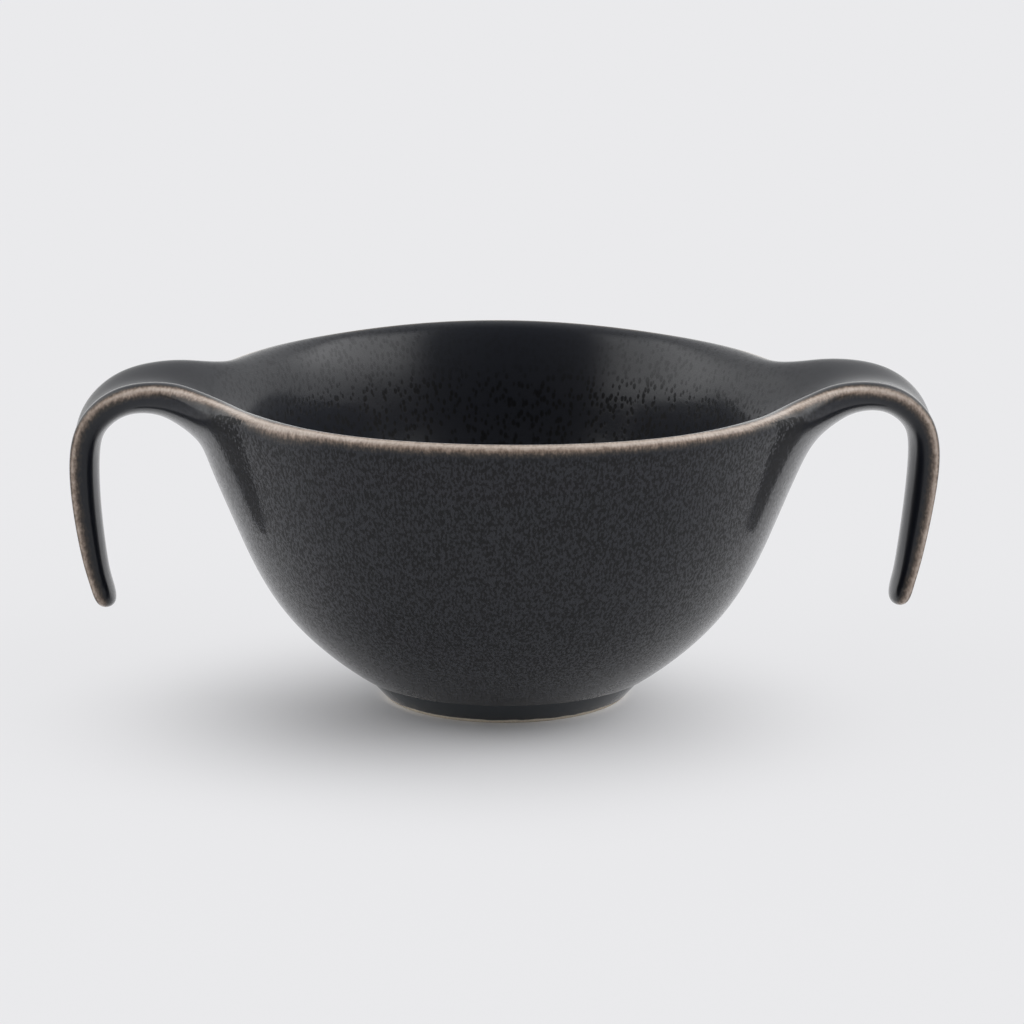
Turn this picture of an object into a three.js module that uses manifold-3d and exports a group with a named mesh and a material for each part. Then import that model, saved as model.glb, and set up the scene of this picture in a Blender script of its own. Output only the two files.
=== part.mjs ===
// Two-handled stoneware soup bowl: a thrown bowl, a luted foot ring and two strap
// handles that flow out of the rim, arch over and hang free to a rounded tip.
// Millimetres, +Z up, handles along X, origin on the table under the bowl's axis.
import * as THREE from "three";
import { mergeVertices } from "three/addons/utils/BufferGeometryUtils.js";
import Module from "manifold-3d";

// Bowl
const RIM_DIAMETER = 116; // over the outside of the lip
const RIM_HEIGHT = 62.5; // table to the top of the lip, front and back
const RIM_DIP = 2.4; // how much lower the lip runs beside the handles
const LIP = 2.9; // wall at the lip
const LIP_CROWN = 0.34; // how far the lip's rounding stands up, as a share of LIP
const WALL = 4.6; // wall just above the foot
const FLOOR = 4; // clay under the middle of the well
const WELL_DIAMETER = 30.8; // nearly flat middle of the well
const WELL_RISE = 0.5; // from that middle to its edge
const SEAT_DIAMETER = 57; // flat turned under the bowl for the foot ring
const SEAT_SLOPE = 31; // degrees, the wall's rise where it leaves the seat
const SEAT_REACH = 29; // how far that slope carries into the curve
const SEAT_ALLOWANCE = 8; // the form runs on this far below the seat, and is cut off level
const RIM_SLOPE = 77; // degrees, the wall's rise at the lip
const RIM_REACH = 14;

// Foot ring
const FOOT_HEIGHT = 4.9;
const FOOT_TREAD_DIAMETER = 48; // outside of the bare tread
const FOOT_TREAD = 2.6; // width of the tread
const FOOT_TOP_INSET = 0.6; // step between the seat's edge and the ring
const FOOT_TOP = 6.5; // width of the ring where it is luted on
const FOOT_CHAMFER = 0.5;

// Strap handles
const EAR_ANGLE = 28; // degrees either side of X where a strap's edges leave the rim
const EAR_DROP = 10.1; // rim down to the middle of the strap where it leaves the wall
const EAR_PULL = 2.5; // how far the wall is drawn out there
const EAR_EDGE_PULL = 0.3; // the same at the ear's two edges, as a share
const ROOT_HEADING = 56; // degrees above level, the strap's direction as it leaves
const ROOT_BEND = 18.3; // radius of the rise
const CROWN_HEADING = 15;
const CROWN_BEND = 11.2; // radius of the turn over the top
const DROP_HEADING = -89;
const DROP_BEND = 98; // radius of the hanging part
const TIP_HEADING = -107;
const ROOT_THICKNESS = 5.9;
const TIP_THICKNESS = 2.9;
const STRAP_WIDTH = 13.9; // between the roundings of the strap's edges
const TIP_NARROWING = 2; // how much narrower the strap is at its tip
const FLARE_LENGTH = 9.8; // the root's spread and dish die away over this length
const TIP_ROUND = 2.6; // how far the tip's corners are set back
const TIP_REACH = 6; // a higher power keeps that closer to the tip
const LUTE_STANDOFF = 0.8; // rim's widest point to the flat joint of a handle

// Fineness of the smooth form
const FREE_COLUMNS = 5; // cage faces along each rim between the handles
const BEND_STEPS = 3; // cage faces along each bend of a strap
const LEVELS = 2;
const FITTING_PASSES = 2; // more would follow the cage closer, with swollen edges

const { degToRad, lerp } = THREE.MathUtils;
const wasm = await Module();
wasm.setup();

// The outside of the wall as a curve from the seat's edge to the lip.
const rimRadius = RIM_DIAMETER / 2;
const lipRow = RIM_HEIGHT - LIP_CROWN * LIP;
const along = (degrees, reach) =>
  new THREE.Vector2(Math.cos(degToRad(degrees)), Math.sin(degToRad(degrees))).multiplyScalar(reach);
const seatEdge = new THREE.Vector2(SEAT_DIAMETER / 2, FOOT_HEIGHT);
const lipEdge = new THREE.Vector2(rimRadius, lipRow);
const outside = new THREE.CubicBezierCurve(
  seatEdge,
  seatEdge.clone().add(along(SEAT_SLOPE, SEAT_REACH)),
  lipEdge.clone().sub(along(RIM_SLOPE, RIM_REACH)),
  lipEdge,
);

// A point of the wall: t runs from seat to lip, side is 1 outside, 0 mid-wall, -1 inside.
function wallPoint(t, side, swell = 0) {
  const tangent = outside.getTangent(t);
  const depth = lerp(WALL, LIP, t) * (1 - side) / 2 - swell;
  return outside.getPoint(t).add(new THREE.Vector2(-tangent.y, tangent.x).multiplyScalar(depth));
}

// The strap's centreline: three bends, each turning down from one heading to the next.
const bends = [
  { radius: ROOT_BEND, from: ROOT_HEADING, to: CROWN_HEADING },
  { radius: CROWN_BEND, from: CROWN_HEADING, to: DROP_HEADING },
  { radius: DROP_BEND, from: DROP_HEADING, to: TIP_HEADING },
];
const bendLength = (bend) => bend.radius * degToRad(bend.from - bend.to);
const strapLength = bends.reduce((sum, bend) => sum + bendLength(bend), 0);

function wallHeightParameter(height) {
  let [low, high] = [0, 1];
  for (let step = 0; step < 30; step++) {
    const middle = (low + high) / 2;
    if (wallPoint(middle, 0).y < height) low = middle;
    else high = middle;
  }
  return low;
}

const rootHeight = RIM_HEIGHT - EAR_DROP;
const rootStart = new THREE.Vector2(
  wallPoint(wallHeightParameter(rootHeight), 0).x + EAR_PULL,
  rootHeight,
);

function strapCentre(s) {
  const point = rootStart.clone();
  let left = s;
  for (const bend of bends) {
    const run = bend === bends.at(-1) ? left : Math.min(left, bendLength(bend));
    const start = degToRad(bend.from);
    const heading = start - run / bend.radius;
    point.x += bend.radius * (Math.sin(start) - Math.sin(heading));
    point.y += bend.radius * (Math.cos(heading) - Math.cos(start));
    left -= run;
    if (left <= 0) return point;
  }
  return point;
}

// The strap's middle surface: q runs across from -1 to 1. The root is spread and dished
// so that its edges start on the rim, and both die away along the strap.
const rimMiddle = rimRadius - LIP / 2;
const rootCorner = new THREE.Vector3(
  rimMiddle * Math.cos(degToRad(EAR_ANGLE)),
  rimMiddle * Math.sin(degToRad(EAR_ANGLE)),
  lipRow - RIM_DIP * Math.cos(degToRad(EAR_ANGLE)) ** 2,
);

function strapMiddle(q, s) {
  const fade = Math.exp(-s / FLARE_LENGTH);
  const centre = strapCentre(s);
  const width = STRAP_WIDTH - TIP_NARROWING * (s / strapLength) ** 2;
  const half = lerp(width / 2, rootCorner.y, fade);
  return new THREE.Vector3(
    centre.x + q * q * fade * (rootCorner.x - rootStart.x),
    q * half,
    centre.y + q * q * fade * (rootCorner.z - rootStart.y),
  );
}

// A point on the strap's underside (side 1) or top (side -1).
function strapPoint(q, s, side) {
  const step = 0.01;
  const across = strapMiddle(q + step, s).sub(strapMiddle(q - step, s));
  const onward = strapMiddle(q, s + step).sub(strapMiddle(q, s - step));
  const half = lerp(ROOT_THICKNESS, TIP_THICKNESS, s / strapLength) / 2;
  return strapMiddle(q, s).addScaledVector(across.cross(onward).normalize(), side * half);
}

// Cage of the whole form. Columns go round the bowl, four of them in each ear.
const earSteps = [-1, -1 / 3, 1 / 3, 1];
const freeStep = (180 - 2 * EAR_ANGLE) / FREE_COLUMNS;
const columns = [0, 180].flatMap((turn) => [
  ...earSteps.map((q) => ({ turn, q, angle: turn + q * EAR_ANGLE, ear: q * q < 1 ? 1 : EAR_EDGE_PULL })),
  ...Array.from({ length: FREE_COLUMNS - 1 }, (_, k) => (
    { turn, angle: turn + EAR_ANGLE + (k + 1) * freeStep, ear: 0 }
  )),
]);

// Rows go up the wall. In an ear they crowd down under the strap and swell outward.
const rows = [
  { t: 0.17, crowd: 0, swell: 0 },
  { t: 0.4, crowd: 0.03, swell: 0.1 },
  { t: 0.62, crowd: 0.1, swell: 0.4 },
  { t: 0.84, crowd: 0.14, swell: 1.8 },
];

function turned(point, degrees) {
  return point.applyAxisAngle(new THREE.Vector3(0, 0, 1), degToRad(degrees));
}

function skin(side) {
  const hidden = seatEdge.clone().sub(along(SEAT_SLOPE, SEAT_ALLOWANCE));
  const well = new THREE.Vector2(WELL_DIAMETER / 2, FOOT_HEIGHT + FLOOR + WELL_RISE);
  const start = side > 0 ? hidden : well;
  return columns.map(({ turn, q, angle, ear }) => {
    const up = rows.map(({ t, crowd, swell }) => wallPoint(t - crowd * ear, side, swell * ear));
    const ring = [start, ...up].map((p) => turned(new THREE.Vector3(p.x, 0, p.y), angle));
    const dip = RIM_DIP * Math.cos(degToRad(angle)) ** 2;
    const lip = new THREE.Vector3(rimMiddle + side * LIP / 2, 0, lipRow - dip);
    ring.push(q === undefined ? turned(lip, angle) : turned(strapPoint(q, 0, side), turn));
    return ring;
  });
}

function buildCage() {
  const points = [];
  const faces = [];
  const put = (point) => points.push(point) - 1;
  const [outer, inner] = [1, -1].map((side) => skin(side).map((ring) => ring.map(put)));
  const poles = [FOOT_HEIGHT - SEAT_ALLOWANCE, FOOT_HEIGHT + FLOOR].map((z) => put(new THREE.Vector3(0, 0, z)));
  const top = outer[0].length - 1;
  columns.forEach((column, c) => {
    const n = (c + 1) % columns.length;
    faces.push([poles[0], outer[n][0], outer[c][0]], [poles[1], inner[c][0], inner[n][0]]);
    for (let j = 0; j < top; j++) {
      faces.push([outer[c][j], outer[n][j], outer[n][j + 1], outer[c][j + 1]]);
      faces.push([inner[c][j + 1], inner[n][j + 1], inner[n][j], inner[c][j]]);
    }
    if (!(column.q < 1)) faces.push([outer[c][top], outer[n][top], inner[n][top], inner[c][top]]);
  });

  const stops = bends.flatMap((bend, b) => {
    const before = bends.slice(0, b).reduce((sum, other) => sum + bendLength(other), 0);
    return Array.from({ length: BEND_STEPS }, (_, k) => before + bendLength(bend) * (k + 1) / BEND_STEPS);
  });
  for (const turn of [0, 180]) {
    const first = columns.findIndex((column) => column.turn === turn && column.q === -1);
    let under = earSteps.map((_, m) => outer[first + m][top]);
    let over = earSteps.map((_, m) => inner[first + m][top]);
    for (const stop of stops) {
      const back = (q) => stop - TIP_ROUND * q * q * (stop / strapLength) ** TIP_REACH;
      const row = (side) => earSteps.map((q) => put(turned(strapPoint(q, back(q), side), turn)));
      const [nextUnder, nextOver] = [row(1), row(-1)];
      for (let m = 0; m < 3; m++) {
        faces.push([under[m], under[m + 1], nextUnder[m + 1], nextUnder[m]]);
        faces.push([nextOver[m], nextOver[m + 1], over[m + 1], over[m]]);
      }
      faces.push([under[0], nextUnder[0], nextOver[0], over[0]]);
      faces.push([nextUnder[3], under[3], over[3], nextOver[3]]);
      [under, over] = [nextUnder, nextOver];
    }
    for (let m = 0; m < 3; m++) faces.push([under[m], under[m + 1], over[m + 1], over[m]]);
  }
  return { points, faces };
}

// One Catmull-Clark step. limits holds where each old point ends on the smooth surface.
function refine({ points, faces }) {
  const mean = (list) =>
    list.reduce((sum, p) => sum.add(p), new THREE.Vector3()).divideScalar(list.length);
  const facePoints = faces.map((face) => mean(face.map((i) => points[i])));
  const edges = new Map();
  const around = points.map(() => ({ faces: [], edges: [] }));
  const edgeOf = (a, b) => edges.get(a < b ? `${a} ${b}` : `${b} ${a}`);
  faces.forEach((face, f) => face.forEach((a, k) => {
    const b = face[(k + 1) % face.length];
    const key = a < b ? `${a} ${b}` : `${b} ${a}`;
    if (!edges.has(key)) edges.set(key, { ends: [a, b], faces: [], index: points.length + edges.size });
    edges.get(key).faces.push(f);
    around[a].faces.push(f);
  }));
  for (const edge of edges.values()) {
    edge.middle = mean(edge.ends.map((i) => points[i]));
    edge.point = mean([edge.middle, mean(edge.faces.map((f) => facePoints[f]))]);
    for (const end of edge.ends) around[end].edges.push(edge);
  }
  const moved = points.map((point, i) => {
    const n = around[i].edges.length;
    return mean(around[i].faces.map((f) => facePoints[f]))
      .addScaledVector(mean(around[i].edges.map((edge) => edge.middle)), 2)
      .addScaledVector(point, n - 3)
      .divideScalar(n);
  });
  const limits = moved.map((point, i) => {
    const n = around[i].edges.length;
    const sum = point.clone().multiplyScalar(n * n);
    for (const edge of around[i].edges) sum.addScaledVector(edge.point, 4);
    for (const f of around[i].faces) sum.add(facePoints[f]);
    return sum.divideScalar(n * (n + 5));
  });
  const middleIndex = points.length + edges.size;
  const quads = faces.flatMap((face, f) => face.map((a, k) => {
    const before = face[(k + face.length - 1) % face.length];
    const after = face[(k + 1) % face.length];
    return [a, edgeOf(a, after).index, middleIndex + f, edgeOf(before, a).index];
  }));
  const edgePoints = [...edges.values()].map((edge) => edge.point);
  return { points: [...moved, ...edgePoints, ...facePoints], faces: quads, limits };
}

// The smooth surface through the cage's points.
function smoothThrough(cage) {
  const wanted = cage.points.map((point) => point.clone());
  for (let pass = 0; pass < FITTING_PASSES; pass++) {
    refine(cage).limits.forEach((limit, i) => cage.points[i].add(wanted[i]).sub(limit));
  }
  let mesh = cage;
  for (let level = 0; level < LEVELS; level++) mesh = refine(mesh);
  return { points: refine(mesh).limits, faces: mesh.faces };
}

function solidOf(geometry) {
  const bare = geometry.clone();
  bare.deleteAttribute("normal");
  bare.deleteAttribute("uv");
  const merged = mergeVertices(bare, 1e-3);
  return new wasm.Manifold(new wasm.Mesh({
    numProp: 3,
    vertProperties: new Float32Array(merged.attributes.position.array),
    triVerts: new Uint32Array(merged.index.array),
  }));
}

function geometryOf(solid) {
  const mesh = solid.getMesh();
  const geometry = new THREE.BufferGeometry();
  geometry.setAttribute("position", new THREE.BufferAttribute(mesh.vertProperties, 3));
  geometry.setIndex(new THREE.BufferAttribute(mesh.triVerts, 1));
  geometry.computeVertexNormals();
  return geometry;
}

function wholeForm() {
  const { points, faces } = smoothThrough(buildCage());
  const geometry = new THREE.BufferGeometry().setFromPoints(points);
  geometry.setIndex(faces.flatMap(([a, b, c, d]) => [a, b, c, a, c, d]));
  return solidOf(geometry);
}

// A block that takes everything beyond a flat: outside a handle's joint or below the seat.
const room = 4 * RIM_DIAMETER;
const block = (x, z) => solidOf(new THREE.BoxGeometry(room, room, room).translate(x, 0, z));
const jointX = rimRadius + LUTE_STANDOFF;

function footRing() {
  const tread = FOOT_TREAD_DIAMETER / 2;
  const top = SEAT_DIAMETER / 2 - FOOT_TOP_INSET;
  const profile = [
    [tread - FOOT_TREAD, 0],
    [tread - FOOT_CHAMFER, 0],
    [tread, FOOT_CHAMFER],
    [top, FOOT_HEIGHT],
    [top - FOOT_TOP, FOOT_HEIGHT],
    [tread - FOOT_TREAD - FOOT_CHAMFER, FOOT_CHAMFER],
    [tread - FOOT_TREAD, 0],
  ].map(([r, z]) => new THREE.Vector2(r, z));
  return new THREE.LatheGeometry(profile, 64).rotateX(Math.PI / 2);
}

const glaze = (color) => new THREE.MeshStandardMaterial({ color, roughness: 0.35, metalness: 0 });
const bowl = new THREE.Group();

function addPiece(name, geometry, color) {
  const mesh = new THREE.Mesh(geometry, glaze(color));
  mesh.name = name;
  bowl.add(mesh);
}

const whole = wholeForm();
const beyond = [1, -1].map((side) => block(side * (jointX + room / 2), 0));
const body = whole.subtract(beyond[0]).subtract(beyond[1]).subtract(block(0, FOOT_HEIGHT - room / 2));
addPiece("bowl_body", geometryOf(body), 0x2f2e33);
addPiece("foot_ring", footRing(), 0x2c2f30);
addPiece("left_handle", geometryOf(whole.intersect(beyond[1])), 0x35322f);
addPiece("right_handle", geometryOf(whole.intersect(beyond[0])), 0x35322f);

export default bowl;
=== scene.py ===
import bmesh
import bpy
from math import cos, exp, pi, radians, sin
from mathutils import Matrix, Vector, kdtree


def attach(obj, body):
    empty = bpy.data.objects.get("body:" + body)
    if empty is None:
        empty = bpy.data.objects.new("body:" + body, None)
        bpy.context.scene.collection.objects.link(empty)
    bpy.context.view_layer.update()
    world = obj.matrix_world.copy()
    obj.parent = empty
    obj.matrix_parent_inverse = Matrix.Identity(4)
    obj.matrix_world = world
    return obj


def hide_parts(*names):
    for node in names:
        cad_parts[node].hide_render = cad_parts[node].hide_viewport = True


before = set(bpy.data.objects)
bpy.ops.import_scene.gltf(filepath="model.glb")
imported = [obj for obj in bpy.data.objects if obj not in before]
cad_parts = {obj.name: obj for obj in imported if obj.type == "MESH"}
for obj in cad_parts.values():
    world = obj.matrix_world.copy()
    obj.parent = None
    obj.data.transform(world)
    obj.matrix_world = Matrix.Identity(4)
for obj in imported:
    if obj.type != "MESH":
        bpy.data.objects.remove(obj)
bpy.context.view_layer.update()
scene = bpy.context.scene
scene.view_settings.view_transform = "Standard"
mm = 0.001
print("frame loaded:", ", ".join(sorted(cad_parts)))

# camera, at the photograph's angle; lengths here and on the pieces are in millimetres
shot = {
    "lens": 174.1,
    "distance": 962.4,
    "lookDown": 13.73,  # degrees
    "turn": 0.97,       # degrees the camera stands round from square on
    "aimAside": 1.3,
    "aimHeight": 35.84,
    "farthest": 50000,
}
down = radians(shot["lookDown"])
away, rise = shot["distance"] * cos(down), shot["distance"] * sin(down)
standing = Vector((shot["aimAside"], -away, shot["aimHeight"] + rise))
standing.rotate(Matrix.Rotation(-radians(shot["turn"]), 3, "Z"))
bpy.ops.object.camera_add(location=standing * mm, rotation=(pi / 2 - down, 0, -radians(shot["turn"])))
camera = bpy.context.object
camera.data.lens = shot["lens"]
camera.data.clip_end = shot["farthest"] * mm
scene.camera = camera
print("camera set")


def only(piece):
    bpy.ops.object.select_all(action="DESELECT")
    piece.select_set(True)
    bpy.context.view_layer.objects.active = piece


# the bowl's wall: a curve from the seat of the foot up to the lip
bowl = {
    "rimDiameter": 115.92,
    "rimHeight": 62.2,
    "rimLean": 0.007,       # slope: the thrown rim stands a little higher on the left
    "lip": 2.9,
    "lipCrown": 0.34,       # the lip's rounding, as a share of its width
    "wall": 4.6,            # thickness at the seat, thinning to the lip's
    "floor": 4,
    "wellDiameter": 30.8,
    "wellRise": 0.5,
    "seatDiameter": 57,
    "seatHeight": 4.9,
    "seatSlope": 31,        # degrees at which the curve leaves the seat, and how far it holds them
    "seatReach": 29,
    "seatAllowance": 8,     # clay below the seat, cut off level
    "rimSlope": 77,         # the same where it comes to the lip
    "rimReach": 14,
    # rows of the cage: share of the way up, how far an ear draws that down, then swell outwards at an ear,
    # all round, and towards both ears
    "outside": [
        (0.17, 0, 0, 0, 0),
        (0.4, 0.03, 0.1, 0, 0),
        (0.62, 0.1, 0.4, 0, 0),
        (0.84, 0.14, 1.8, 0, 0),
    ],
    "inside": [
        (0.8, 0.12, 0.9, -1.1, -1.8),
        (0.6, 0.1, 0.4, -0.5, -2.4),
        (0.4, 0.03, 0.1, -0.1, -0.9),
        (0.17, 0, 0, 0, 0),
    ],
    "earEdgePull": 0.3,     # the ends of an ear follow it by this share
    "freeColumns": 5,       # cage faces round the rim from ear to ear
    "strapDish": 0.4,       # hollow across the top of a strap
    "strapRound": 0.25,     # taken off under a strap's edges, as a share of its thickness
    "strapPeak": 2,         # 1 leaves two flat slopes under the strap, 2 a round
    "strapTuck": 0.1,       # and drawn in from its edges, as a share of its half width
    "strapFull": 8,         # higher keeps the belly and the raised edges further towards the tip
    "strapEnd": 4.6,        # length of the blunt end
    "strapArris": 0.34,     # how crisp the underside's edges are, 1 for a sharp arris
    "arrisFrom": 79,        # distance aside of the bowl's middle at which they are as crisp as that
    "joint": 58.8,          # distance aside of the flat where a handle is luted on
}
# hand-pulled straps, so the two differ a little
rightHandle = {
    "turn": 0,                 # degrees round the bowl
    "rimDip": 2.1,             # how much lower the lip runs towards the strap
    "earAngle": 30,            # degrees from the ear's middle to its end
    "earDrop": 10.95,          # how far the root starts below the rim, and out from the middle of the wall
    "earPull": 2.45,
    "headings": (56.2, 17.7, -92.2, -106.2),  # degrees, before and after each of three bends
    "bends": (20, 10.7, 127),  # their radii
    "rootThickness": 5.9,
    "tipThickness": 2.85,
    "width": 15.1,
    "tipNarrowing": 3.1,
    "flare": 9.8,              # length in which the spread root draws in
    "tipRound": 1.3,           # how far the tip's corners stand back
    "tipReach": 6,             # higher keeps that nearer to the tip
    "belly": 1.0,              # fuller under the middle
    "edgeRise": 0.35,          # higher over the edges
    "hangEdgeShade": 0.3,         # how much narrower the break is drawn on the hanging part, darkening its outer edge: painted shade
}
leftHandle = {
    "turn": 180,
    "rimDip": 1.2,
    "earAngle": 27,
    "earDrop": 10.8,
    "earPull": 1.75,
    "headings": (56.2, 13.4, -87.7, -107.3),
    "bends": (18.5, 11.4, 90),
    "rootThickness": 6,
    "tipThickness": 2.95,
    "width": 13.4,
    "tipNarrowing": 3.2,
    "flare": 10.8,
    "tipRound": 1.4,
    "tipReach": 6,
    "belly": 0.72,
    "edgeRise": 0.6,
    "hangEdgeShade": 0.45,
}
bendSteps = 3                     # cage faces along each bend of a strap
earSteps = (-1, -1 / 3, 1 / 3, 1)  # cage points across an ear and its strap


def mix(a, b, share):
    return a + (b - a) * share


def along(spot, start, stop):  # eased from 0 to 1 between two distances aside of the bowl's middle
    share = min(max((abs(spot.x) / mm - start) / (stop - start), 0), 1)
    return share * share * (3 - 2 * share)


def heading(angle, reach):
    return Vector((cos(radians(angle)), sin(radians(angle)))) * reach


rimRadius = bowl["rimDiameter"] / 2
lipRow = bowl["rimHeight"] - bowl["lipCrown"] * bowl["lip"]
rimMiddle = rimRadius - bowl["lip"] / 2
seatEdge = Vector((bowl["seatDiameter"] / 2, bowl["seatHeight"]))
lipEdge = Vector((rimRadius, lipRow))
wallHandles = (seatEdge + heading(bowl["seatSlope"], bowl["seatReach"]),
               lipEdge - heading(bowl["rimSlope"], bowl["rimReach"]))


def wallPoint(t, side, swell=0):  # side 1 outside, 0 mid-wall, -1 inside
    a, b, c, d = seatEdge, wallHandles[0], wallHandles[1], lipEdge
    u = 1 - t
    spot = a * u ** 3 + b * 3 * u * u * t + c * 3 * u * t * t + d * t ** 3
    run = ((b - a) * u * u + (c - b) * 2 * u * t + (d - c) * t * t).normalized()
    depth = mix(bowl["wall"], bowl["lip"], t) * (1 - side) / 2 - swell
    return spot + Vector((-run.y, run.x)) * depth


def rootStart(handle, halvings=30):  # the root's height is found on the wall by halving
    height = bowl["rimHeight"] - handle["earDrop"]
    low, high = 0.0, 1.0
    for _ in range(halvings):
        middle = (low + high) / 2
        if wallPoint(middle, 0).y < height:
            low = middle
        else:
            high = middle
    return Vector((wallPoint(low, 0).x + handle["earPull"], height))


def prepare(handle):  # lengths of the three bends, and where the strap leaves the bowl
    turns = list(zip(handle["headings"], handle["headings"][1:]))
    handle["arcs"] = [(r, radians(a), r * radians(a - b)) for r, (a, b) in zip(handle["bends"], turns)]
    handle["length"] = sum(arc[2] for arc in handle["arcs"])
    handle["start"] = rootStart(handle)
    ear = radians(handle["earAngle"])
    height = lipRow - handle["rimDip"] * cos(ear) ** 2
    handle["corner"] = Vector((rimMiddle * cos(ear), rimMiddle * sin(ear), height))


def strapCentre(handle, s):
    spot = handle["start"].copy()
    for arc in handle["arcs"]:
        radius, begin, length = arc
        run = s if arc is handle["arcs"][-1] else min(s, length)
        now = begin - run / radius
        spot += Vector((sin(begin) - sin(now), cos(now) - cos(begin))) * radius
        s -= run
        if s <= 0:
            break
    return spot


def strapMiddle(handle, q, s):  # q runs across from -1 to 1; the root is spread and dished
    fade = exp(-s / handle["flare"])
    centre, start, corner = strapCentre(handle, s), handle["start"], handle["corner"]
    width = handle["width"] - handle["tipNarrowing"] * (s / handle["length"]) ** 2
    return Vector((centre.x + q * q * fade * (corner.x - start.x),
                   q * mix(width / 2, corner.y, fade),
                   centre.y + q * q * fade * (corner.z - start.y)))


def strapPoint(handle, q, s, side):  # side 1 under, -1 over
    step = 0.01
    settled = 1 - exp(-s / handle["flare"])
    across = strapMiddle(handle, q + step, s) - strapMiddle(handle, q - step, s)
    onward = strapMiddle(handle, q, s + step) - strapMiddle(handle, q, s - step)
    half = mix(handle["rootThickness"], handle["tipThickness"], s / handle["length"]) / 2
    full = settled * settled * (1 - (s / handle["length"]) ** bowl["strapFull"])
    if side > 0:
        off = abs(q) ** bowl["strapPeak"]
        half *= 1 - 2 * bowl["strapRound"] * settled * off
        half += handle["belly"] * full * (1 - off)
        q *= 1 - bowl["strapTuck"] * settled * q * q
    else:
        half += handle["edgeRise"] * full * q * q - bowl["strapDish"] * settled * (1 - q * q)
    return strapMiddle(handle, q, s) + across.cross(onward).normalized() * side * half


def turned(spot, angle):
    return Matrix.Rotation(radians(angle), 3, "Z") @ spot


columns = []
for handle, other in ((rightHandle, leftHandle), (leftHandle, rightHandle)):
    prepare(handle)
    gap = (180 - handle["earAngle"] - other["earAngle"]) / bowl["freeColumns"]
    for q in earSteps:
        pull = 1 if abs(q) < 1 else bowl["earEdgePull"]
        angle = handle["turn"] + q * handle["earAngle"]
        columns.append({"handle": handle, "q": q, "angle": angle, "pull": pull})
    for k in range(1, bowl["freeColumns"]):
        angle = handle["turn"] + handle["earAngle"] + k * gap
        columns.append({"handle": handle, "q": None, "angle": angle, "pull": 0})


def ringPoint(column, r, z):
    return turned(Vector((r, 0, z)), column["angle"])


def lipPoint(column, side):
    handle = column["handle"]
    if column["q"] is not None:
        return turned(strapPoint(handle, column["q"], 0, side), handle["turn"])
    aside = cos(radians(column["angle"]))
    dip = handle["rimDip"] * aside ** 2 + bowl["rimLean"] * rimRadius * aside
    return ringPoint(column, rimMiddle + side * bowl["lip"] / 2, lipRow - dip)


def wallRow(row, side):
    t, crowd, earSwell, swell, broad = row

    def where(column):
        pull = column["pull"]
        swelling = swell + broad * cos(radians(column["angle"])) ** 2 + earSwell * pull
        return ringPoint(column, *wallPoint(t - crowd * pull, side, swelling))
    return where


# clay: one cage drawn out of a circle, up the outside, over the lip and down into the well
hidden = seatEdge - heading(bowl["seatSlope"], bowl["seatAllowance"])
wellEdge = (bowl["wellDiameter"] / 2, bowl["seatHeight"] + bowl["floor"] + bowl["wellRise"])
bpy.ops.object.select_all(action="DESELECT")
bpy.ops.mesh.primitive_circle_add(vertices=len(columns), radius=hidden.x * mm, fill_type="TRIFAN")
clay = bpy.context.object
clay.name = "clay"
clay.data.attributes.new("column", "INT", "POINT")
clay.data.attributes.new("skinSide", "FLOAT", "POINT")  # 1 outside and under, -1 inside and over
bpy.ops.object.mode_set(mode="EDIT")
bpy.ops.mesh.select_mode(type="VERT")
mesh = bmesh.from_edit_mesh(clay.data)
columnOf = mesh.verts.layers.int["column"]
sideOf = mesh.verts.layers.float["skinSide"]
rim = sorted((v for v in mesh.verts if v.co.length > mm), key=lambda v: v.index)
pole = next(v for v in mesh.verts if v.co.length < mm)
turnWay = 1 if (rim[0].co.cross(rim[1].co)).z > 0 else -1
for k, v in enumerate(rim):
    v[columnOf] = (k * turnWay) % len(columns)
    v[sideOf] = 1
    v.select = True
    v.co = ringPoint(columns[v[columnOf]], hidden.x, hidden.y) * mm
pole.co = Vector((0, 0, bowl["seatHeight"] - bowl["seatAllowance"])) * mm
pole[sideOf] = 1
pole.select = False
mesh.select_flush_mode()
for edge in mesh.edges:
    edge.select = edge.is_boundary
bmesh.update_edit_mesh(clay.data)


def raiseRow(where, side):
    bpy.ops.mesh.extrude_edges_move(TRANSFORM_OT_translate={"value": (0, 0, 0)})
    mesh = bmesh.from_edit_mesh(clay.data)
    columnOf = mesh.verts.layers.int["column"]
    sideOf = mesh.verts.layers.float["skinSide"]
    for v in mesh.verts:
        if v.select:
            v.co = where(columns[v[columnOf]]) * mm
            v[sideOf] = side
    bmesh.update_edit_mesh(clay.data)


for row in bowl["outside"]:
    raiseRow(wallRow(row, 1), 1)
raiseRow(lambda column: lipPoint(column, 1), 1)
raiseRow(lambda column: lipPoint(column, -1), -1)
for row in bowl["inside"]:
    raiseRow(wallRow(row, -1), -1)
raiseRow(lambda column: ringPoint(column, *wellEdge), -1)
raiseRow(lambda column: Vector((0, 0, bowl["seatHeight"] + bowl["floor"])), -1)
bpy.ops.mesh.merge(type="CENTER")
print("wall cage drawn")


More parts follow.
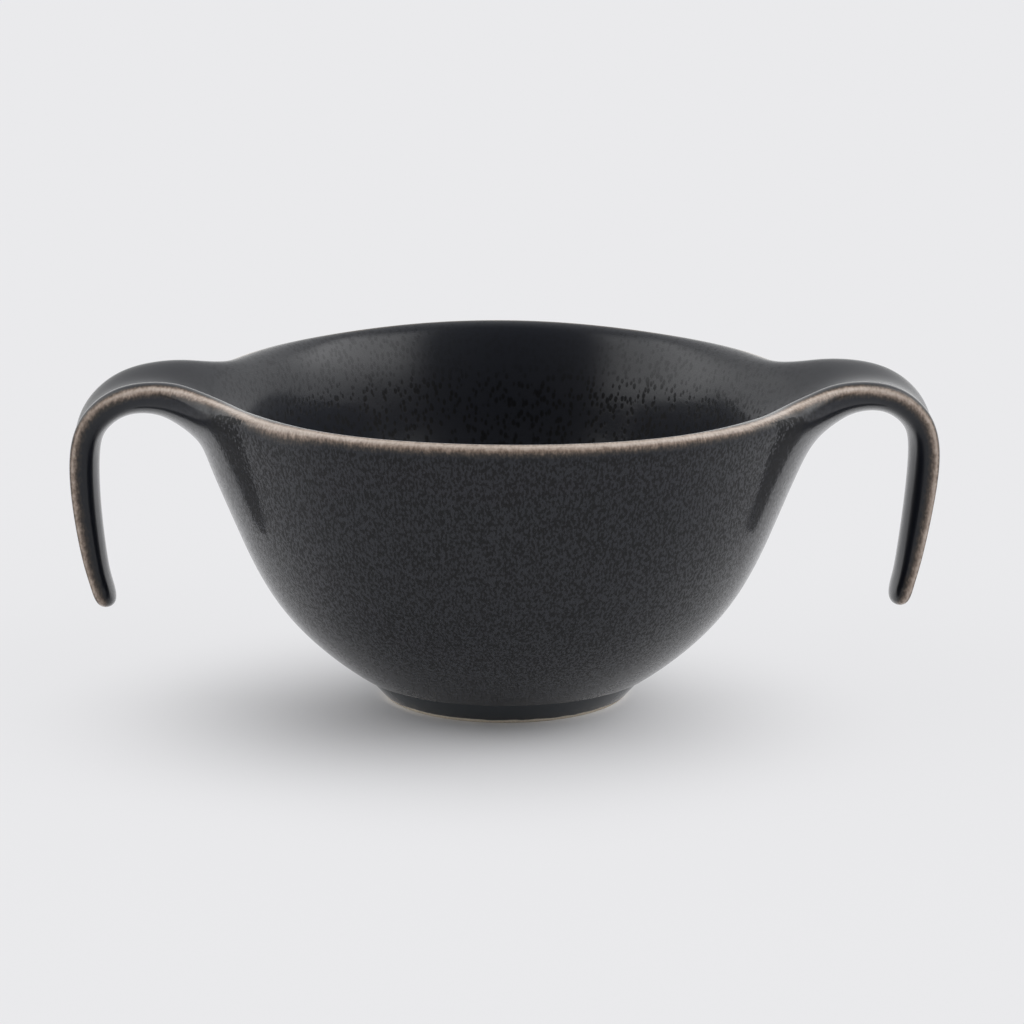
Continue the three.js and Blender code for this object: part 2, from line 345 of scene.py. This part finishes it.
# each strap is pulled out of the lip faces of its ear, station by station
def pullStrap(handle):
    mesh = bmesh.from_edit_mesh(clay.data)
    columnOf = mesh.verts.layers.int["column"]
    sideOf = mesh.verts.layers.float["skinSide"]
    lipFaces = []
    for face in mesh.faces:
        face.select_set(False)
        crossesLip = {v[sideOf] for v in face.verts} == {1, -1}
        corners = [columns[v[columnOf]] for v in face.verts]
        if crossesLip and all(c["handle"] is handle and c["q"] is not None for c in corners):
            lipFaces.append(face)
    for face in lipFaces:
        face.select_set(True)
    bmesh.update_edit_mesh(clay.data)
    stops = []
    done = 0
    for _, _, length in handle["arcs"]:
        stops += [done + length * (k + 1) / bendSteps for k in range(bendSteps)]
        done += length
    stops.insert(-1, stops[-1] - bowl["strapEnd"])
    for stop in stops:
        bpy.ops.mesh.extrude_region_move(TRANSFORM_OT_translate={"value": (0, 0, 0)})
        mesh = bmesh.from_edit_mesh(clay.data)
        columnOf = mesh.verts.layers.int["column"]
        sideOf = mesh.verts.layers.float["skinSide"]
        for v in mesh.verts:
            if v.select:
                q = columns[v[columnOf]]["q"]
                back = handle["tipRound"] * q * q * (stop / handle["length"]) ** handle["tipReach"]
                v.co = turned(strapPoint(handle, q, stop - back, v[sideOf]), handle["turn"]) * mm
        bmesh.update_edit_mesh(clay.data)


bpy.ops.mesh.select_mode(type="FACE")
pullStrap(rightHandle)
pullStrap(leftHandle)
mesh = bmesh.from_edit_mesh(clay.data)
columnOf = mesh.verts.layers.int["column"]
sideOf = mesh.verts.layers.float["skinSide"]
crisp = mesh.edges.layers.float.new("crease_edge")
for edge in mesh.edges:
    if all(columns[v[columnOf]]["q"] in (-1, 1) and v[sideOf] == 1 for v in edge.verts):
        crispness = min(along(v.co, bowl["joint"], bowl["arrisFrom"]) for v in edge.verts)
        edge[crisp] = bowl["strapArris"] * crispness
bmesh.update_edit_mesh(clay.data)
bpy.ops.mesh.select_all(action="SELECT")
bpy.ops.mesh.normals_make_consistent(inside=False)
bpy.ops.object.mode_set(mode="OBJECT")
print("straps pulled, cage has", len(clay.data.polygons), "faces")

# the cage is nudged so that its smooth skin runs near the drawn points, then made smooth
fineness = {"passes": 2, "levels": 4}
wanted = [v.co.copy() for v in clay.data.vertices]
skin = clay.modifiers.new("smooth skin", "SUBSURF")
skin.levels = skin.render_levels = 1
for _ in range(fineness["passes"]):
    depsgraph = bpy.context.evaluated_depsgraph_get()
    settled = [v.co.copy() for v in clay.evaluated_get(depsgraph).data.vertices[:len(wanted)]]
    for v, want, now in zip(clay.data.vertices, wanted, settled):
        v.co += want - now
    clay.data.update()
skin.levels = skin.render_levels = fineness["levels"]
only(clay)
bpy.ops.object.modifier_apply(modifier=skin.name)
bpy.ops.object.shade_smooth()

# how far each point lies from the crest where the glaze breaks: the outer edge of the rim's lip, passing to
# the side of each strap's arch, then to the outer edge of its hanging part; the break is short on the inner
# and upper side of the crest
crestRun = {
    "onRim": 0.5,     # where on the skin's side the crest runs
    "onArch": -0.3,
    "onHang": -0.6,
    "leavesRim": 42,  # distances aside of the bowl's middle
    "joinsArch": 57,
    "leavesArch": 72,
    "joinsHang": 82,
    "inwards": 1.7,   # how many times shorter the break is on that side
    "overArch": 1.15,  # and along the arch
    "widerBreak": 0.65,  # the break runs wider about the left ear's root, on the outside
    "widerFrom": 32,
    "widerFull": 42,
    "widerUntil": 57,
}


def crestSide(spot):
    toArch = along(spot, crestRun["leavesRim"], crestRun["joinsArch"])
    toHang = along(spot, crestRun["leavesArch"], crestRun["joinsHang"])
    return mix(mix(crestRun["onRim"], crestRun["onArch"], toArch), crestRun["onHang"], toHang)


points = clay.data.vertices
past = [side.value - crestSide(v.co) for v, side in zip(points, clay.data.attributes["skinSide"].data)]
crest = []
for edge in clay.data.edges:
    a, b = edge.vertices
    if (past[a] < 0) != (past[b] < 0):
        crest.append(points[a].co.lerp(points[b].co, past[a] / (past[a] - past[b])))
crestTree = kdtree.KDTree(len(crest))
for k, spot in enumerate(crest):
    crestTree.insert(spot, k)
crestTree.balance()
fromLip = clay.data.attributes.new("fromLip", "FLOAT", "POINT")
for v, beyond, distance in zip(points, past, fromLip.data):
    hanging = along(v.co, crestRun["leavesArch"], crestRun["joinsHang"])
    arching = along(v.co, crestRun["leavesRim"], crestRun["joinsArch"]) - hanging
    steep = mix(1, crestRun["overArch"], arching)
    if beyond < 0:
        steep *= crestRun["inwards"]
    elif v.co.x < 0:
        # on the outside about the left ear's root the break is drawn wider
        thin = along(v.co, crestRun["widerFrom"], crestRun["widerFull"])
        thin -= along(v.co, crestRun["widerFull"], crestRun["widerUntil"])
        steep *= mix(1, crestRun["widerBreak"], thin)
    # the break is drawn narrower on the hanging part: painted shade on its outer edge
    hangShade = (rightHandle if v.co.x > 0 else leftHandle)["hangEdgeShade"] * hanging
    distance.value = crestTree.find(v.co)[2] / mm * steep + hangShade

# painted shade in the flute below each end of a strap's root, drawn as dark, dull flecks crowded together
shadedFlute = {
    "aside": 26,     # from the middle of the ear to the middle of the painted shade
    "width": 6,      # from there to the shade's edge, at the top
    "taper": 0.7,    # lower keeps the shade wide further down
    "top": 58,
    "foot": 37,
    "nearest": 42,   # distances aside of the bowl's middle
    "furthest": 57,
    "outerSkin": 0.6,  # the skin's side from which the wall counts as outside
}
fluteShade = clay.data.attributes.new("fluteShade", "FLOAT", "POINT")
for v, side, shadeDepth in zip(clay.data.vertices, clay.data.attributes["skinSide"].data, fluteShade.data):
    up = (v.co.z / mm - shadedFlute["foot"]) / (shadedFlute["top"] - shadedFlute["foot"])
    isOutside = side.value > shadedFlute["outerSkin"] and shadedFlute["nearest"] < abs(v.co.x) / mm < shadedFlute["furthest"]
    if up > 0 and isOutside:
        width = shadedFlute["width"] * min(up, 1) ** shadedFlute["taper"]
        shadeDepth.value = max(1 - abs(abs(v.co.y) / mm - shadedFlute["aside"]) / width, 0)
wholeNormal = clay.data.attributes.new("wholeNormal", "FLOAT_VECTOR", "POINT")
for v, normal in zip(clay.data.vertices, wholeNormal.data):
    normal.vector = v.normal
print("clay form:", len(clay.data.polygons), "faces,", len(crest), "crest points")

cutting = {"threshold": 0.001, "flatWithin": 0.002}


# the form is cut at the luted joints; each piece keeps the form's smooth normals, and its cuts are flat
def cutPiece(name, cuts):
    piece = clay.copy()
    piece.data = clay.data.copy()
    piece.name = piece.data.name = name
    scene.collection.objects.link(piece)
    only(piece)
    bpy.ops.object.mode_set(mode="EDIT")
    slack = cutting["threshold"] * mm
    for spot, off in cuts:
        bpy.ops.mesh.select_all(action="SELECT")
        bpy.ops.mesh.bisect(plane_co=spot, plane_no=off, clear_outer=True, threshold=slack)
        bpy.ops.mesh.fill(use_beauty=False)
    bpy.ops.mesh.select_all(action="SELECT")
    bpy.ops.mesh.normals_make_consistent(inside=False)
    bpy.ops.object.mode_set(mode="OBJECT")
    bpy.ops.object.shade_smooth()
    corners = piece.data.vertices
    whole = [normal.vector.copy() for normal in piece.data.attributes["wholeNormal"].data]
    flat = cutting["flatWithin"] * mm
    normals = []
    for face in piece.data.polygons:
        isCut = any(all(abs((corners[k].co - spot).dot(off)) < flat for k in face.vertices)
                    for spot, off in cuts)
        normals += [face.normal.copy() if isCut else whole[k] for k in face.vertices]
    piece.data.normals_split_custom_set(normals)
    piece.data.attributes.remove(piece.data.attributes["wholeNormal"])
    return piece


jointX = bowl["joint"] * mm
seatZ = bowl["seatHeight"] * mm
rightCut, leftCut = Vector((jointX, 0, 0)), Vector((-jointX, 0, 0))
east, west, under = Vector((1, 0, 0)), Vector((-1, 0, 0)), Vector((0, 0, -1))
bowlBody = cutPiece("bowl_body_glazed", [(rightCut, east), (leftCut, west), (Vector((0, 0, seatZ)), under)])
rightStrap = cutPiece("right_handle_glazed", [(rightCut, west)])
leftStrap = cutPiece("left_handle_glazed", [(leftCut, east)])
bpy.data.objects.remove(clay)
print("pieces cut:", [len(p.data.polygons) for p in (bowlBody, rightStrap, leftStrap)])

# foot ring: a circle drawn up, round and down through the ring's section
foot = {
    "treadDiameter": 48,
    "tread": 2.6,
    "topInset": 0.6,   # inside the edge of the bowl's seat
    "top": 6.5,
    "chamfer": 0.5,
    "rounding": 0.28,
    "roundSteps": 3,
    "roundOver": 20,   # degrees: only edges that turn more are rounded
    "smoothUnder": 40,  # degrees: faces that turn less are shaded as one
    "segments": 128,
}
tread = foot["treadDiameter"] / 2
topOut = bowl["seatDiameter"] / 2 - foot["topInset"]
section = [
    (tread - foot["tread"], 0),
    (tread - foot["chamfer"], 0),
    (tread, foot["chamfer"]),
    (topOut, bowl["seatHeight"]),
    (topOut - foot["top"], bowl["seatHeight"]),
    (tread - foot["tread"] - foot["chamfer"], foot["chamfer"]),
]
bpy.ops.object.select_all(action="DESELECT")
bpy.ops.mesh.primitive_circle_add(vertices=foot["segments"], radius=section[0][0] * mm)
footRing = bpy.context.object
footRing.name = footRing.data.name = "foot_ring_glazed"
bpy.ops.object.mode_set(mode="EDIT")
for (r0, z0), (r1, z1) in zip(section, section[1:]):
    bpy.ops.mesh.extrude_edges_move(TRANSFORM_OT_translate={"value": (0, 0, (z1 - z0) * mm)})
    bpy.ops.transform.resize(value=(r1 / r0, r1 / r0, 1), center_override=(0, 0, 0))
mesh = bmesh.from_edit_mesh(footRing.data)
for edge in mesh.edges:
    edge.select = edge.is_boundary
bmesh.update_edit_mesh(footRing.data)
bpy.ops.mesh.bridge_edge_loops()
bpy.ops.mesh.select_all(action="SELECT")
bpy.ops.mesh.normals_make_consistent(inside=False)
bpy.ops.object.mode_set(mode="OBJECT")
rounding = footRing.modifiers.new("softened edges", "BEVEL")
rounding.width = foot["rounding"] * mm
rounding.segments = foot["roundSteps"]
rounding.limit_method = "ANGLE"
rounding.angle_limit = radians(foot["roundOver"])
bpy.ops.object.modifier_apply(modifier=rounding.name)
only(footRing)
bpy.ops.object.shade_smooth_by_angle(angle=radians(foot["smoothUnder"]))
print("foot ring:", len(footRing.data.polygons), "faces")


# materials
def linear(code):
    parts = [int(code[k:k + 2], 16) / 255 for k in (1, 3, 5)]
    return [p / 12.92 if p <= 0.04045 else ((p + 0.055) / 1.055) ** 2.4 for p in parts] + [1]


def newMaterial(name):
    material = bpy.data.materials.new(name)
    material.use_nodes = True
    material.node_tree.nodes.clear()
    return material, material.node_tree


def addNode(tree, kind, inputs=(), **settings):
    node = tree.nodes.new("ShaderNode" + kind)
    for key, value in settings.items():
        setattr(node, key, value)
    for key, value in dict(inputs).items():
        if isinstance(value, bpy.types.NodeSocket):
            tree.links.new(value, node.inputs[key])
        else:
            node.inputs[key].default_value = value
    return node


# Reduction-fired stoneware glaze: near-black iron glaze, satin, with darker crystal flecks drawn
# downhill by the melt. It breaks to brown and beige where it runs thin over an edge, and the palest beige
# along the crest is drawn paler still, a painted highlight where the lip catches the light.
glaze = {
    "ground": "#10141e",
    "fleck": "#0b0c10",
    "breakAndHighlightColours": [  # by distance from the crest; the palest stops hold a painted highlight as well as the thin glaze's colour
        (0.0, "#cabcb1"),
        (0.45, "#b0a093"),
        (0.8, "#8a7a6e"),
        (1.15, "#5e5147"),
        (1.5, "#352e29"),
    ],
    "breakEnds": 2.2,
    "breakWander": 0.3,          # how far the break strays, and the size of its strays
    "wanderSize": 1.6,
    "wanderLevels": (0.2, 0.8),  # levels of a noise, here and below, that are taken as none and full
    "streaks": 0.2,              # how far the grain draws it into streaks
    "streakLevels": (0.3, 0.7),
    "grain": 0.46,               # size of the fine flecks outside
    "grainLevels": (0.4, 0.6),
    "fleckPitch": 0.95,          # from fleck to fleck, inside
    "fleckEdge": (0.3, 0.48),    # where a fleck starts to fade and ends, in pitches from its middle
    "fleckStretch": 0.55,        # flecks run longer down the wall
    "patchSize": 9,              # patches of larger and smaller flecks
    "patchLevels": (0.3, 0.7),
    "patchShift": 0.08,
    "skinTurn": 0.5,             # the skin's sides between which inside passes into outside
    "strapFrom": (54, 66),       # distances aside between which the flecks give way on the straps
    "strapFlecks": 0.15,
    "edgeFree": (1.3, 2.8),      # distances from the crest between which the flecks come in
    "upperBand": (49, 55),       # heights between which the inside grows smoother
    "upperSmooth": 0.75,
    "fluteShadeLevels": (0.35, 0.65),  # the grain thickens the painted shade in a flute or thins it
    "fluteShadeDense": (1.9, 0.1),
    "fluteShadeEdge": (0.12, 0.4),
    "fleckDull": (1, 0.7),       # how dull a fleck is, inside and outside
    "glancing": (0.5, 0.85),     # and at a glancing angle
    "glancingDull": 0.2,
    "peelSize": 1.6,             # orange peel, and pits where the flecks are
    "relief": 0.25,
    "reliefDepth": 0.03,
    "rough": 0.5,
    "ior": 1.5,
    "specular": 0.2,
    "coatRough": 0.13,
    "coatIor": 1.35,
}


def glazeMaterial(name):
    material, tree = newMaterial(name)
    place = addNode(tree, "TexCoord").outputs["Object"]
    inMm = addNode(tree, "VectorMath", {0: place, "Scale": 1 / mm}, operation="SCALE").outputs[0]
    downhill = addNode(tree, "Mapping", {"Vector": inMm, "Scale": (1, 1, glaze["fleckStretch"])}).outputs[0]
    spot = addNode(tree, "SeparateXYZ", {0: inMm}).outputs
    aside = addNode(tree, "Math", {0: spot["X"]}, operation="ABSOLUTE").outputs[0]
    edge = addNode(tree, "Attribute", attribute_name="fromLip").outputs["Fac"]
    fluteShade = addNode(tree, "Attribute", attribute_name="fluteShade").outputs["Fac"]
    skin = addNode(tree, "Attribute", attribute_name="skinSide").outputs["Fac"]
    turn = glaze["skinTurn"]
    outside = addNode(tree, "MapRange", {0: skin, 1: -turn, 2: turn}).outputs[0]
    # drops inside, fine grain outside
    cells = addNode(tree, "TexVoronoi", {"Vector": downhill,
                                         "Scale": 1 / glaze["fleckPitch"]}).outputs["Distance"]
    patches = addNode(tree, "TexNoise", {"Vector": inMm, "Scale": 1 / glaze["patchSize"],
                                         "Detail": 3}).outputs[0]
    low, high = glaze["patchLevels"]
    shift = glaze["patchShift"]
    level = addNode(tree, "MapRange", {0: patches, 1: low, 2: high, 3: -shift, 4: shift}).outputs[0]
    shifted = addNode(tree, "Math", {0: cells, 1: level}, operation="ADD").outputs[0]
    low, high = glaze["fleckEdge"]
    drops = addNode(tree, "MapRange", {0: shifted, 1: low, 2: high, 3: 1, 4: 0},
                    interpolation_type="SMOOTHSTEP").outputs[0]
    fine = addNode(tree, "TexNoise", {"Vector": downhill, "Scale": 1 / glaze["grain"],
                                      "Detail": 1}).outputs[0]
    low, high = glaze["grainLevels"]
    grain = addNode(tree, "MapRange", {0: fine, 1: low, 2: high, 3: 1, 4: 0},
                    interpolation_type="SMOOTHSTEP").outputs[0]
    spots = addNode(tree, "Mix", {0: outside, 2: drops, 3: grain}).outputs[0]
    # fewer on the straps, along the crest and in the upper band inside
    low, high = glaze["strapFrom"]
    onBowl = addNode(tree, "MapRange", {0: aside, 1: low, 2: high, 3: 1, 4: glaze["strapFlecks"]}).outputs[0]
    low, high = glaze["edgeFree"]
    offEdge = addNode(tree, "MapRange", {0: edge, 1: low, 2: high}).outputs[0]
    low, high = glaze["upperBand"]
    upper = addNode(tree, "MapRange", {0: spot["Z"], 1: low, 2: high},
                    interpolation_type="SMOOTHSTEP").outputs[0]
    within = addNode(tree, "MapRange", {0: skin, 1: -turn, 2: turn,
                                        3: glaze["upperSmooth"], 4: 0}).outputs[0]
    smoothIn = addNode(tree, "Math", {0: upper, 1: within}, operation="MULTIPLY").outputs[0]
    flecked = addNode(tree, "Math", {0: 1, 1: smoothIn}, operation="SUBTRACT").outputs[0]
    onWall = addNode(tree, "Math", {0: onBowl, 1: flecked}, operation="MULTIPLY").outputs[0]
    fade = addNode(tree, "Math", {0: onWall, 1: offEdge}, operation="MULTIPLY").outputs[0]
    scattered = addNode(tree, "Math", {0: spots, 1: fade}, operation="MULTIPLY").outputs[0]
    # crowded in the flutes: painted shade
    low, high = glaze["fluteShadeLevels"]
    thick, thin = glaze["fluteShadeDense"]
    dense = addNode(tree, "MapRange", {0: fine, 1: low, 2: high, 3: thick, 4: thin}).outputs[0]
    fluteShadeShare = addNode(tree, "Math", {0: fluteShade, 1: dense}, operation="MULTIPLY").outputs[0]
    low, high = glaze["fluteShadeEdge"]
    fluteShaded = addNode(tree, "MapRange", {0: fluteShadeShare, 1: low, 2: high}).outputs[0]
    flecks = addNode(tree, "Math", {0: scattered, 1: fluteShaded}, operation="MAXIMUM").outputs[0]
    # glaze break, with a painted highlight in its palest beige
    wander = addNode(tree, "TexNoise", {"Vector": inMm, "Scale": 1 / glaze["wanderSize"], "Detail": 4,
                                        "Roughness": 0.7}).outputs[0]
    low, high = glaze["wanderLevels"]
    stray = glaze["breakWander"]
    wanderMm = addNode(tree, "MapRange", {0: wander, 1: low, 2: high, 3: -stray, 4: stray}).outputs[0]
    low, high = glaze["streakLevels"]
    stray = glaze["streaks"]
    streaks = addNode(tree, "MapRange", {0: fine, 1: low, 2: high, 3: stray, 4: -stray}).outputs[0]
    ragged = addNode(tree, "Math", {0: wanderMm, 1: streaks}, operation="ADD").outputs[0]
    edgeMm = addNode(tree, "Math", {0: edge, 1: ragged}, operation="ADD").outputs[0]
    share = addNode(tree, "Math", {0: edgeMm, 1: glaze["breakEnds"]}, operation="DIVIDE").outputs[0]
    breakAndHighlight = addNode(tree, "ValToRGB", {0: share})
    stops = breakAndHighlight.color_ramp.elements
    stops.remove(stops[1])
    for k, (at, code) in enumerate(glaze["breakAndHighlightColours"] + [(glaze["breakEnds"], glaze["ground"])]):
        stop = stops[0] if k == 0 else stops.new(at / glaze["breakEnds"])
        stop.color = linear(code)
    colour = addNode(tree, "Mix", {0: flecks, 6: breakAndHighlight.outputs[0], 7: linear(glaze["fleck"])},
                     data_type="RGBA").outputs[2]
    # flecks are duller, which shows less at a glancing angle
    facing = addNode(tree, "LayerWeight", {"Blend": 0.5}).outputs["Facing"]
    dullIn, dullOut = glaze["fleckDull"]
    dullest = addNode(tree, "MapRange", {0: outside, 3: dullIn, 4: dullOut}).outputs[0]
    low, high = glaze["glancing"]
    dulling = addNode(tree, "MapRange", {0: facing, 1: low, 2: high, 3: dullest,
                                         4: glaze["glancingDull"]}).outputs[0]
    fleckDull = addNode(tree, "Math", {0: flecks, 1: dulling}, operation="MULTIPLY").outputs[0]
    # the flutes' painted shade stays dull at any angle
    dulled = addNode(tree, "Math", {0: fleckDull, 1: fluteShaded}, operation="MAXIMUM").outputs[0]
    gloss = addNode(tree, "Math", {0: 1, 1: dulled}, operation="SUBTRACT").outputs[0]
    peel = addNode(tree, "TexNoise", {"Vector": inMm, "Scale": 1 / glaze["peelSize"],
                                      "Detail": 2}).outputs[0]
    pits = addNode(tree, "Math", {0: peel, 1: flecks}, operation="SUBTRACT").outputs[0]
    depth = glaze["reliefDepth"] * mm
    relief = addNode(tree, "Bump", {"Strength": glaze["relief"], "Distance": depth,
                                    "Height": pits}).outputs[0]
    surface = addNode(tree, "BsdfPrincipled", {
        "Base Color": colour,
        "Roughness": glaze["rough"],
        "IOR": glaze["ior"],
        "Specular IOR Level": glaze["specular"],
        "Coat Weight": gloss,
        "Coat Roughness": glaze["coatRough"],
        "Coat IOR": glaze["coatIor"],
        "Normal": relief,
        "Coat Normal": relief,
    })
    addNode(tree, "OutputMaterial", {"Surface": surface.outputs[0]})
    return material


bodyGlaze = glazeMaterial("iron_stoneware_glaze")
for piece in (bowlBody, rightStrap, leftStrap):
    piece.data.materials.clear()
    piece.data.materials.append(bodyGlaze)

# the foot carries the bowl's glaze down to a wiped line, and bare fired clay below it, matt and gritty; the
# foot's glaze is drawn lighter than the bowl's and the clay paler, painted light against the shade under the
# bowl
bare = {
    # pale bare clay, drawn paler still as painted light against the shade under the bowl
    "clay": "#e6dbca",
    # the bowl's glaze, drawn lighter than its ground: painted light against the shade under the bowl
    "glaze": "#33373b",
    "line": 0.75,              # height of the wiped line, half its blur, how far it strays and how often
    "lineBlur": 0.06,
    "wander": 0.12,
    "wanderSize": 4,
    "gritSize": 0.4,
    "gritShades": (0.85, 1.1),
    "noiseLevels": (0.3, 0.7),  # taken as none and full
    "rough": 0.85,
    "specular": 0.1,
    "relief": 0.2,
    "reliefDepth": 0.03,
}
footMaterial, tree = newMaterial("glazed_foot_bare_stoneware_tread")
place = addNode(tree, "TexCoord").outputs["Object"]
inMm = addNode(tree, "VectorMath", {0: place, "Scale": 1 / mm}, operation="SCALE").outputs[0]
height = addNode(tree, "SeparateXYZ", {0: inMm}).outputs["Z"]
low, high = bare["noiseLevels"]
stray = bare["wander"]
wobble = addNode(tree, "TexNoise", {"Vector": inMm, "Scale": 1 / bare["wanderSize"], "Detail": 2}).outputs[0]
lift = addNode(tree, "MapRange", {0: wobble, 1: low, 2: high, 3: -stray, 4: stray}).outputs[0]
wiped = addNode(tree, "Math", {0: height, 1: lift}, operation="ADD").outputs[0]
line, blur = bare["line"], bare["lineBlur"]
glazed = addNode(tree, "MapRange", {0: wiped, 1: line - blur, 2: line + blur}).outputs[0]
grit = addNode(tree, "TexNoise", {"Vector": inMm, "Scale": 1 / bare["gritSize"], "Detail": 3}).outputs[0]
dark, pale = bare["gritShades"]
gritShade = addNode(tree, "MapRange", {0: grit, 1: low, 2: high, 3: dark, 4: pale}).outputs[0]
clayColour = addNode(tree, "Mix", {0: 1, 6: linear(bare["clay"]), 7: gritShade}, data_type="RGBA",
                     blend_type="MULTIPLY").outputs[2]
footColour = addNode(tree, "Mix", {0: glazed, 6: clayColour, 7: linear(bare["glaze"])},
                     data_type="RGBA").outputs[2]
footRough = addNode(tree, "MapRange", {0: glazed, 3: bare["rough"], 4: glaze["rough"]}).outputs[0]
depth = bare["reliefDepth"] * mm
footRelief = addNode(tree, "Bump", {"Strength": bare["relief"], "Distance": depth,
                                    "Height": grit}).outputs[0]
footSurface = addNode(tree, "BsdfPrincipled", {
    "Base Color": footColour,
    "Roughness": footRough,
    "IOR": glaze["ior"],
    "Specular IOR Level": bare["specular"],
    "Coat Weight": glazed,
    "Coat Roughness": glaze["coatRough"],
    "Coat IOR": glaze["coatIor"],
    "Normal": footRelief,
})
addNode(tree, "OutputMaterial", {"Surface": footSurface.outputs[0]})
footRing.data.materials.append(footMaterial)
print("materials made")

# studio: a pale floor, and a world of plain air with a long soft panel at each side; sizes in metres
studio = {
    "floor": "#e9e9eb",
    "floorSize": 12,
    "floorRough": 0.9,
    "floorSpecular": 0.1,
    # shadows are lightened away from where the bowl stands: about this spot, between these distances,
    # by this share
    "lightenedAbout": (-0.012, -0.03, 0),
    "lightenedFrom": 0.01,
    "lightenedTo": 0.09,
    "lightened": 0.9,
    "air": "#ffffff",
    "front": 0.15,       # strength of the air towards the camera side, and behind the bowl
    "back": 1.0,
    "frontEnds": -0.45,  # a direction's Y where the air starts to brighten, and where it has
    "backBegins": 0.2,
    # long soft panels: which hand, level, bearings from the camera side at which each begins and ends,
    # heights at which it comes up out of the air and fades into it, in degrees
    "panels": [
        (1, 2.6, (30, 56), (95, 122), (5, 30), (45, 65)),
        (-1, 1.7, (38, 62), (95, 122), (4, 13), (45, 65)),
    ],
}
bpy.ops.object.select_all(action="DESELECT")
bpy.ops.mesh.primitive_plane_add(size=studio["floorSize"])
floor = bpy.context.object
floor.name = "studio_floor"
floorMaterial, tree = newMaterial("matt_studio_floor")
floorSurface = addNode(tree, "BsdfPrincipled", {
    "Base Color": linear(studio["floor"]),
    "Roughness": studio["floorRough"],
    "Specular IOR Level": studio["floorSpecular"],
}).outputs[0]
# the camera, and the glaze's reflections, see the floor's shadows lightened
floorGlow = addNode(tree, "Emission", {"Color": linear(studio["floor"])}).outputs[0]
rays = addNode(tree, "LightPath").outputs
mirrored = addNode(tree, "Math", {0: rays["Is Glossy Ray"], 1: rays["Is Transmission Ray"]},
                   operation="MAXIMUM").outputs[0]
seen = addNode(tree, "Math", {0: rays["Is Camera Ray"], 1: mirrored}, operation="MAXIMUM").outputs[0]
onFloor = addNode(tree, "TexCoord").outputs["Object"]
off = addNode(tree, "VectorMath", {0: onFloor, 1: studio["lightenedAbout"]},
              operation="DISTANCE").outputs["Value"]
near, far = studio["lightenedFrom"], studio["lightenedTo"]
share = addNode(tree, "MapRange", {0: off, 1: near, 2: far, 4: studio["lightened"]},
                interpolation_type="SMOOTHSTEP").outputs[0]
lightened = addNode(tree, "Math", {0: seen, 1: share}, operation="MULTIPLY").outputs[0]
floorMix = addNode(tree, "MixShader", {0: lightened, 1: floorSurface, 2: floorGlow}).outputs[0]
addNode(tree, "OutputMaterial", {"Surface": floorMix})
floor.data.materials.append(floorMaterial)
world = bpy.data.worlds.new("studio")
scene.world = world
world.use_nodes = True
tree = world.node_tree
tree.nodes.clear()
towards = addNode(tree, "TexCoord").outputs["Generated"]
way = addNode(tree, "SeparateXYZ", {0: towards}).outputs
airLevel = addNode(tree, "MapRange", {
    0: way["Y"],
    1: studio["frontEnds"],
    2: studio["backBegins"],
    3: studio["front"],
    4: studio["back"],
}).outputs[0]
ahead = addNode(tree, "Math", {0: way["Y"], 1: -1}, operation="MULTIPLY").outputs[0]
bearing = addNode(tree, "Math", {0: way["X"], 1: ahead}, operation="ARCTAN2").outputs[0]
height = addNode(tree, "Math", {0: way["Z"]}, operation="ARCSINE").outputs[0]
for hand, brightness, begins, ends, bottom, top in studio["panels"]:
    sideways = addNode(tree, "Math", {0: bearing, 1: hand}, operation="MULTIPLY").outputs[0]
    panel = brightness
    limits = ((sideways, begins, 1), (sideways, ends, 0), (height, bottom, 1), (height, top, 0))
    for where, (start, stop), rising in limits:
        fading = {0: where, 1: radians(start), 2: radians(stop), 3: 1 - rising, 4: rising}
        edge = addNode(tree, "MapRange", fading, interpolation_type="SMOOTHSTEP").outputs[0]
        panel = addNode(tree, "Math", {0: panel, 1: edge}, operation="MULTIPLY").outputs[0]
    airLevel = addNode(tree, "Math", {0: airLevel, 1: panel}, operation="ADD").outputs[0]
air = addNode(tree, "Background", {"Color": linear(studio["air"]), "Strength": airLevel}).outputs[0]
addNode(tree, "OutputWorld", {"Surface": air})
print("studio lit")

dressed = (
    (bowlBody, "bowl_body", "body_glaze"),
    (footRing, "foot_ring", "foot_glaze"),
    (leftStrap, "left_handle", "handle_glaze"),
    (rightStrap, "right_handle", "handle_glaze"),
)
for piece, node, slotName in dressed:
    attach(piece, "root")
    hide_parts(node)
